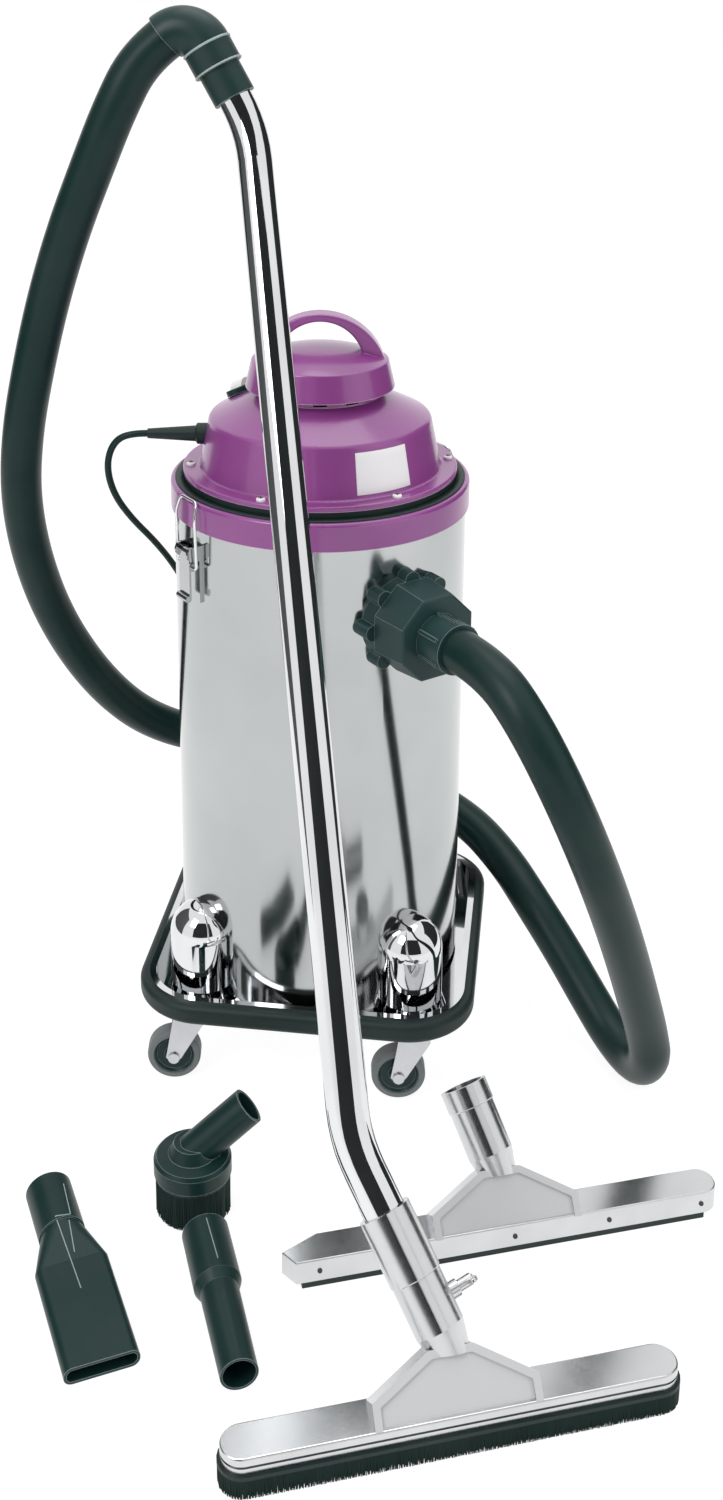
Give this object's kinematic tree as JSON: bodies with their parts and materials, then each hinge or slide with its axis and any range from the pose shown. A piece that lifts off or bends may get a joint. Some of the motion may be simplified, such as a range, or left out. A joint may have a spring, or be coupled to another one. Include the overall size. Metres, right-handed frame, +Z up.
{
  "type": "wet and dry shop vacuum",
  "caption": "Wet and dry shop vacuum: steel drum on a caster trolley, lift-off motor head, hose, bent wand with floor tool, and loose squeegee, brush and nozzles.",
  "frame": {"origin": "on the drum's axis at floor level, where the casters stand", "axes": "+Z up along the drum's axis, -Y towards the front of the machine as pictured, +X to its right in the picture"},
  "size_m": [0.7856, 1.0596, 1.2303],
  "materials": {
    "purple_plastic": "moulded, satin gloss",
    "stainless": "polished sheet",
    "chrome": "polished",
    "zinc": "zinc plated",
    "black_rubber": "matt",
    "grey_tyre": "matt",
    "dark_plastic": "moulded",
    "cast_aluminium": "polished casting",
    "hose_black": "smooth",
    "bristle": "stiff fibre",
    "white_plastic": "moulded",
    "motor_steel": "plain",
    "foam": "open foam",
    "cord_black": "smooth sheath"
  },
  "bodies": {
    "machine": {"trolley_tray": "chrome", "bumper": "black_rubber", "corner_domes": "chrome", "caster_plates": "zinc", "drum": "stainless", "inlet_flange": "dark_plastic", "inlet_cuff": "dark_plastic", "inlet_elbow": "dark_plastic", "clip_brackets": "stainless", "hose": "hose_black", "wand_cuff": "dark_plastic", "wand": "chrome", "floor_tool_body": "cast_aluminium", "floor_brush": "bristle", "squeegee_body": "cast_aluminium", "squeegee_blades": "black_rubber", "flat_nozzle": "dark_plastic", "round_nozzle": "dark_plastic", "dust_brush_body": "dark_plastic", "dust_bristles": "bristle", "mains_cord": "cord_black", "cord_coil": "cord_black", "cord_tie": "dark_plastic", "mains_plug": "dark_plastic"},
    "head": {"rim_ring": "purple_plastic", "motor_plate": "purple_plastic", "rim_gasket": "black_rubber", "motor_housing": "purple_plastic", "housing_screws": "white_plastic", "top_cap": "purple_plastic", "carry_handle": "purple_plastic", "switch_base": "dark_plastic", "cable_gland": "black_rubber", "motor_case": "motor_steel", "fan_shroud": "dark_plastic", "float_cage": "dark_plastic", "filter_sleeve": "foam"},
    "caster_1": {"caster_fork_1": "zinc"},
    "wheel_1": {"caster_hub_1": "dark_plastic", "caster_tyre_1": "grey_tyre"},
    "caster_2": {"caster_fork_2": "zinc"},
    "wheel_2": {"caster_hub_2": "dark_plastic", "caster_tyre_2": "grey_tyre"},
    "caster_3": {"caster_fork_3": "zinc"},
    "wheel_3": {"caster_hub_3": "dark_plastic", "caster_tyre_3": "grey_tyre"},
    "caster_4": {"caster_fork_4": "zinc"},
    "wheel_4": {"caster_hub_4": "dark_plastic", "caster_tyre_4": "grey_tyre"},
    "lever_left": {"clip_lever_left": "stainless"},
    "bail_left": {"clip_bail_left": "stainless"},
    "lever_right": {"clip_lever_right": "stainless"},
    "bail_right": {"clip_bail_right": "stainless"},
    "rocker": {"switch_rocker": "white_plastic"},
    "nut": {"inlet_nut": "dark_plastic"},
    "rotor": {"rotor_fan": "motor_steel"},
    "float": {"float_ball": "white_plastic"},
    "thumb": {"thumb_screw": "cast_aluminium"}
  },
  "joints": [
    {"name": "head_lift", "type": "slide", "parent": "machine", "child": "head", "axis": [0, 0, 1], "range_m": [0, 0.115]},
    {"name": "caster_1_swivel", "type": "hinge", "parent": "machine", "child": "caster_1", "pos_m": [0.11194, -0.14855, 0.1], "axis": [0, 0, 1], "continuous": true},
    {"name": "wheel_1_spin", "type": "hinge", "parent": "caster_1", "child": "wheel_1", "pos_m": [0.08994, -0.14855, 0.031], "axis": [0, 1, 0], "continuous": true},
    {"name": "caster_2_swivel", "type": "hinge", "parent": "machine", "child": "caster_2", "pos_m": [0.14855, 0.11194, 0.1], "axis": [0, 0, 1], "continuous": true},
    {"name": "wheel_2_spin", "type": "hinge", "parent": "caster_2", "child": "wheel_2", "pos_m": [0.12655, 0.11194, 0.031], "axis": [0, 1, 0], "continuous": true},
    {"name": "caster_3_swivel", "type": "hinge", "parent": "machine", "child": "caster_3", "pos_m": [-0.11194, 0.14855, 0.1], "axis": [0, 0, 1], "continuous": true},
    {"name": "wheel_3_spin", "type": "hinge", "parent": "caster_3", "child": "wheel_3", "pos_m": [-0.13394, 0.14855, 0.031], "axis": [0, 1, 0], "continuous": true},
    {"name": "caster_4_swivel", "type": "hinge", "parent": "machine", "child": "caster_4", "pos_m": [-0.14855, -0.11194, 0.1], "axis": [0, 0, 1], "continuous": true},
    {"name": "wheel_4_spin", "type": "hinge", "parent": "caster_4", "child": "wheel_4", "pos_m": [-0.17055, -0.11194, 0.031], "axis": [0, 1, 0], "continuous": true},
    {"name": "lever_left_swing", "type": "hinge", "parent": "machine", "child": "lever_left", "pos_m": [-0.14425, -0.0973, 0.6503], "axis": [-0.5592, 0.829, 0], "range_deg": [0, 150]},
    {"name": "bail_left_turn", "type": "hinge", "parent": "lever_left", "child": "bail_left", "pos_m": [-0.14425, -0.0973, 0.6343], "axis": [-0.5592, 0.829, 0], "range_deg": [-150, 0]},
    {"name": "lever_right_swing", "type": "hinge", "parent": "machine", "child": "lever_right", "pos_m": [0.14425, 0.0973, 0.6503], "axis": [0.5592, -0.829, 0], "range_deg": [0, 150]},
    {"name": "bail_right_turn", "type": "hinge", "parent": "lever_right", "child": "bail_right", "pos_m": [0.14425, 0.0973, 0.6343], "axis": [0.5592, -0.829, 0], "range_deg": [-150, 0]},
    {"name": "switch_rock", "type": "hinge", "parent": "head", "child": "rocker", "pos_m": [-0.0881, 0.05505, 0.78924], "axis": [0.7599, -0.4748, 0.4439], "range_deg": [-9, 9]},
    {"name": "nut_turn", "type": "hinge", "parent": "machine", "child": "nut", "pos_m": [0.11165, -0.17193, 0.589], "axis": [0.5446, -0.8387, 0], "continuous": true},
    {"name": "rotor_spin", "type": "hinge", "parent": "head", "child": "rotor", "pos_m": [0, 0, 0.75], "axis": [0, 0, 1], "continuous": true},
    {"name": "float_rise", "type": "slide", "parent": "head", "child": "float", "axis": [0, 0, 1], "range_m": [0, 0.0517]},
    {"name": "thumb_turn", "type": "hinge", "parent": "machine", "child": "thumb", "pos_m": [0.12954, -0.5611, 0.11266], "axis": [0.8726, 0.4093, 0.2666], "continuous": true}
  ],
  "couplings": [
    {"joint": "bail_left_turn", "follows": "lever_left_swing", "ratio": -1},
    {"joint": "bail_right_turn", "follows": "lever_right_swing", "ratio": -1}
  ]
}
